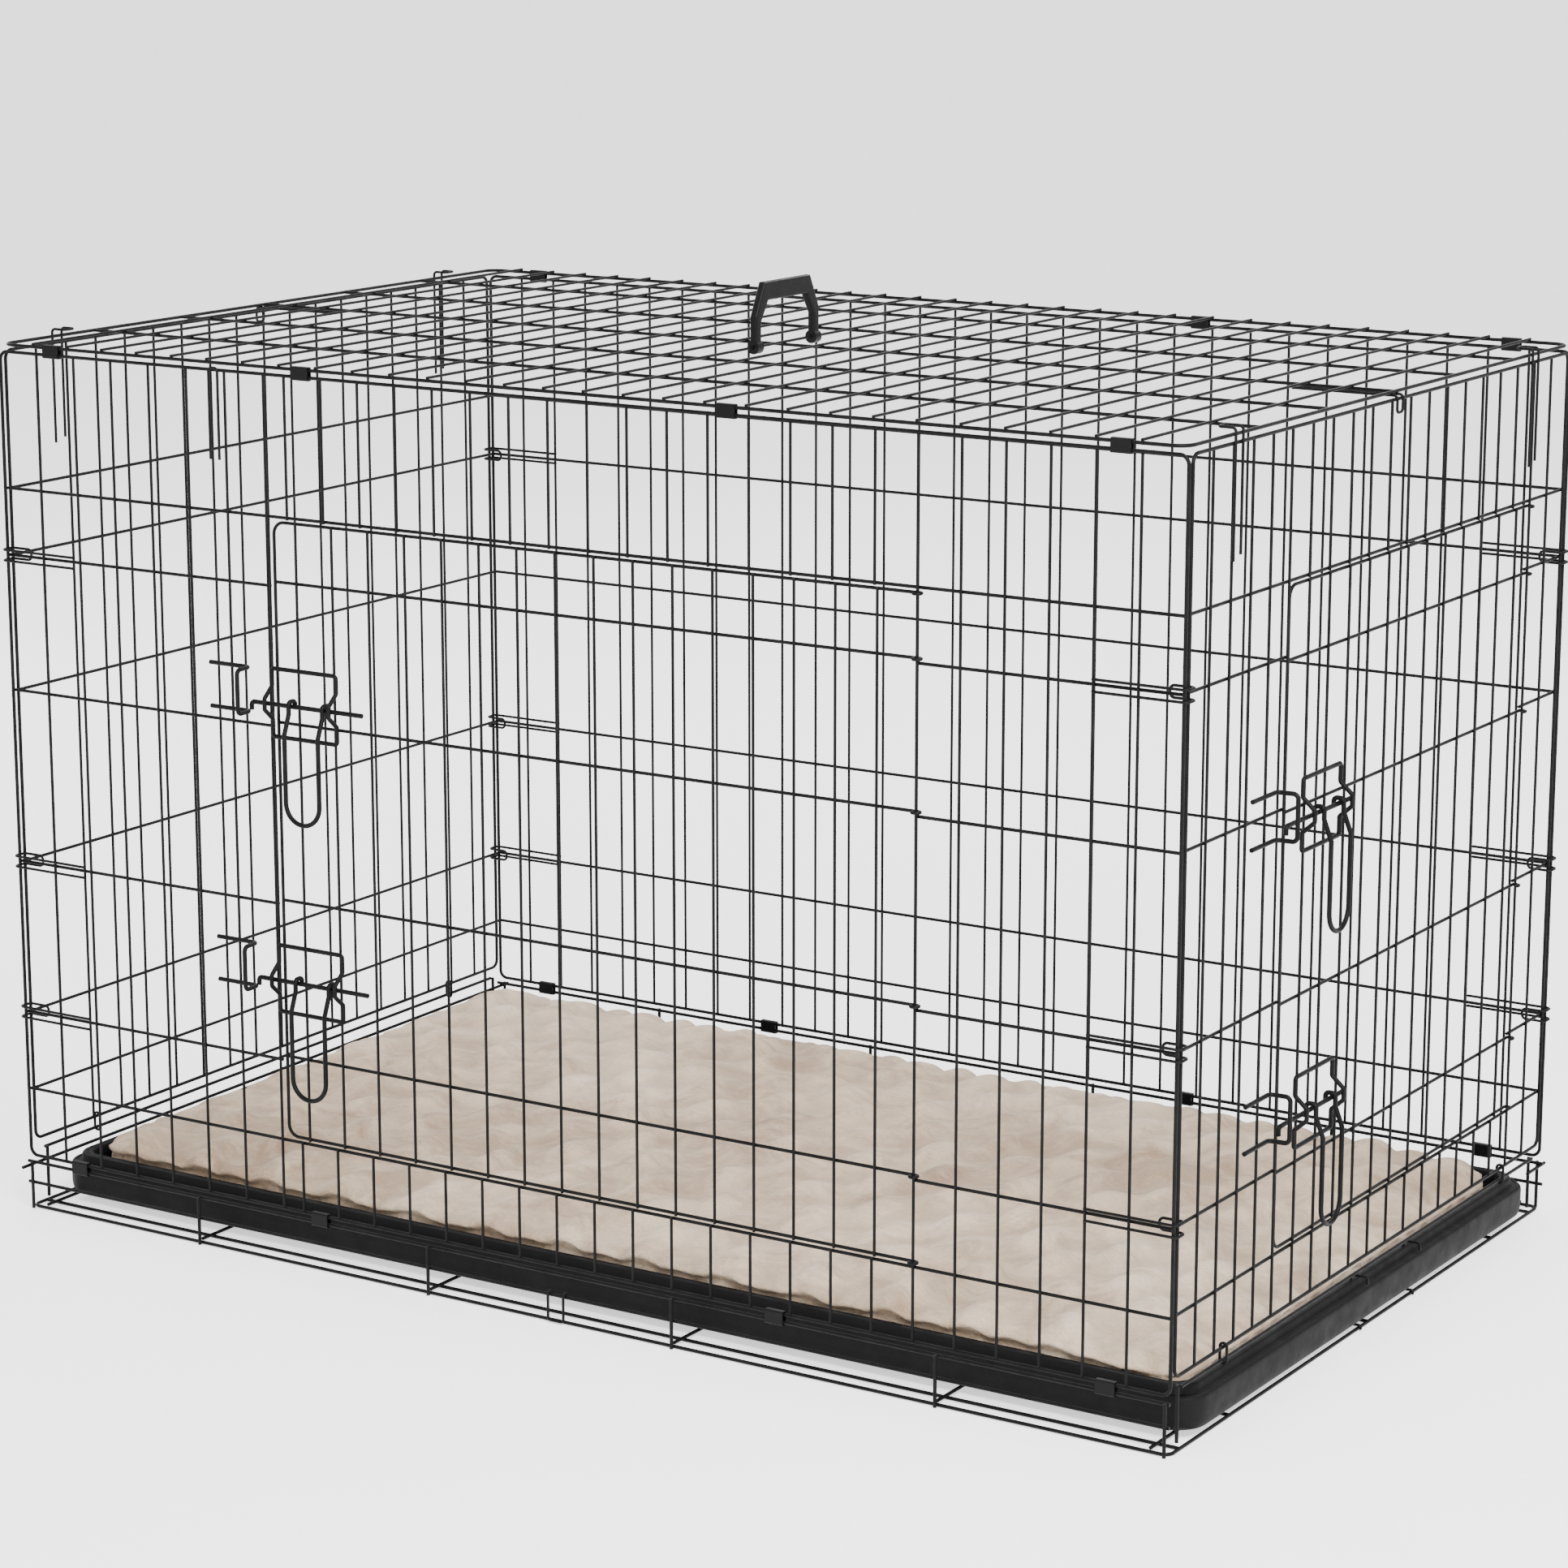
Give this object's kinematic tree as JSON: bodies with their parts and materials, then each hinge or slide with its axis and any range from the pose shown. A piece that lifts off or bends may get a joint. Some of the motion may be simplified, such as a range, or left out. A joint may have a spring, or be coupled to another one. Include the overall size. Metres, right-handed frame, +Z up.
{
  "type": "wire dog crate",
  "caption": "Folding wire dog crate with a front and an end door, slide latches, pull-out pan, carry handle and bed pad.",
  "frame": {"origin": "on the floor under the middle of the whole crate, latches and handle included", "axes": "+X along the long side towards the end with a door, -Y towards the long side with a door, +Z up"},
  "size_m": [1.2487, 0.7991, 0.8878],
  "materials": {
    "black_wire": "satin black electro-coat over steel wire",
    "pan_plastic": "fine grained moulded plastic",
    "handle_plastic": "satin moulded plastic",
    "clip_plastic": "satin sleeve",
    "plush": "short curly plush"
  },
  "bodies": {
    "crate": {"back_bottom_clips": "clip_plastic", "back_corner_clasps": "black_wire", "back_cross_wires": "black_wire", "back_frame": "black_wire", "back_top_clips": "clip_plastic", "back_verticals": "black_wire", "base_cross_rods": "black_wire", "base_end_rails": "black_wire", "base_floor_frame": "black_wire", "base_floor_long_rods": "black_wire", "base_side_rails": "black_wire", "front_bottom_clips": "clip_plastic", "front_corner_clasps": "black_wire", "front_cross_wires": "black_wire", "front_frame": "black_wire", "front_lower_keeper": "black_wire", "front_top_clips": "clip_plastic", "front_top_hook": "black_wire", "front_upper_keeper": "black_wire", "front_verticals": "black_wire", "left_hinge_rings": "black_wire", "right_hinge_rings": "black_wire", "top_cross_wires": "black_wire", "top_frame": "black_wire", "top_long_wires": "black_wire", "top_mid_hooks": "black_wire", "tray_catches": "black_wire"},
    "left_end": {"left_cross_wires": "black_wire", "left_frame": "black_wire", "left_top_hooks": "black_wire", "left_verticals": "black_wire"},
    "right_end": {"end_lower_keeper": "black_wire", "end_upper_keeper": "black_wire", "right_cross_wires": "black_wire", "right_frame": "black_wire", "right_top_hooks": "black_wire", "right_verticals": "black_wire"},
    "front_door": {"front_door_cross_wires": "black_wire", "front_door_frame": "black_wire", "front_door_verticals": "black_wire", "front_lower_guide": "black_wire", "front_upper_guide": "black_wire"},
    "end_door": {"end_door_cross_wires": "black_wire", "end_door_frame": "black_wire", "end_door_verticals": "black_wire", "end_lower_guide": "black_wire", "end_upper_guide": "black_wire"},
    "pan": {"tray": "pan_plastic", "pad": "plush"},
    "carry_handle": {"carry_handle": "handle_plastic"},
    "fold_lock_hook": {"fold_lock_hook": "black_wire"},
    "front_upper_bolt": {"front_upper_bolt": "black_wire"},
    "front_upper_pull": {"front_upper_pull": "black_wire"},
    "front_lower_bolt": {"front_lower_bolt": "black_wire"},
    "front_lower_pull": {"front_lower_pull": "black_wire"},
    "end_upper_bolt": {"end_upper_bolt": "black_wire"},
    "end_upper_pull": {"end_upper_pull": "black_wire"},
    "end_lower_bolt": {"end_lower_bolt": "black_wire"},
    "end_lower_pull": {"end_lower_pull": "black_wire"}
  },
  "joints": [
    {"name": "left_end_fold", "type": "hinge", "parent": "crate", "child": "left_end", "pos_m": [-0.61874, 0.00579, 0.066], "axis": [0, -1, 0], "range_deg": [-90, 0], "deforming": ["left_top_hooks", "front_corner_clasps", "back_corner_clasps", "pad"]},
    {"name": "right_end_fold", "type": "hinge", "parent": "crate", "child": "right_end", "pos_m": [0.60026, 0.00579, 0.066], "axis": [0, 1, 0], "range_deg": [-85, 0], "deforming": ["right_top_hooks"]},
    {"name": "front_door_swing", "type": "hinge", "parent": "crate", "child": "front_door", "pos_m": [0.35786, -0.37521, 0.4], "axis": [0, 0, 1], "range_deg": [0, 170]},
    {"name": "end_door_swing", "type": "hinge", "parent": "right_end", "child": "end_door", "pos_m": [0.60026, 0.30279, 0.4], "axis": [0, 0, 1], "range_deg": [0, 165]},
    {"name": "tray_slide", "type": "slide", "parent": "crate", "child": "pan", "axis": [1, 0, 0], "range_m": [0, 1.25], "deforming": ["tray_catches"]},
    {"name": "carry_handle_swing", "type": "hinge", "parent": "crate", "child": "carry_handle", "pos_m": [-0.00924, 0.00579, 0.8298], "axis": [0, 1, 0], "range_deg": [-75, 75]},
    {"name": "fold_lock_hook_swing", "type": "hinge", "parent": "crate", "child": "fold_lock_hook", "pos_m": [-0.00624, -0.37521, 0.0249], "axis": [-1, 0, 0], "range_deg": [0, 120]},
    {"name": "front_upper_bolt_slide", "type": "slide", "parent": "front_door", "child": "front_upper_bolt", "axis": [1, 0, 0], "range_m": [-0.012, 0.002]},
    {"name": "front_upper_pull_swing", "type": "hinge", "parent": "front_upper_bolt", "child": "front_upper_pull", "pos_m": [-0.26224, -0.38421, 0.527], "axis": [-1, 0, 0], "range_deg": [0, 110]},
    {"name": "front_lower_bolt_slide", "type": "slide", "parent": "front_door", "child": "front_lower_bolt", "axis": [1, 0, 0], "range_m": [-0.012, 0.002]},
    {"name": "front_lower_pull_swing", "type": "hinge", "parent": "front_lower_bolt", "child": "front_lower_pull", "pos_m": [-0.26224, -0.38421, 0.272], "axis": [-1, 0, 0], "range_deg": [0, 110]},
    {"name": "end_upper_bolt_slide", "type": "slide", "parent": "end_door", "child": "end_upper_bolt", "axis": [0, 1, 0], "range_m": [-0.012, 0.002]},
    {"name": "end_upper_pull_swing", "type": "hinge", "parent": "end_upper_bolt", "child": "end_upper_pull", "pos_m": [0.60926, -0.12421, 0.494], "axis": [0, -1, 0], "range_deg": [0, 110]},
    {"name": "end_lower_bolt_slide", "type": "slide", "parent": "end_door", "child": "end_lower_bolt", "axis": [0, 1, 0], "range_m": [-0.012, 0.002]},
    {"name": "end_lower_pull_swing", "type": "hinge", "parent": "end_lower_bolt", "child": "end_lower_pull", "pos_m": [0.60926, -0.12421, 0.237], "axis": [0, -1, 0], "range_deg": [0, 110]}
  ]
}
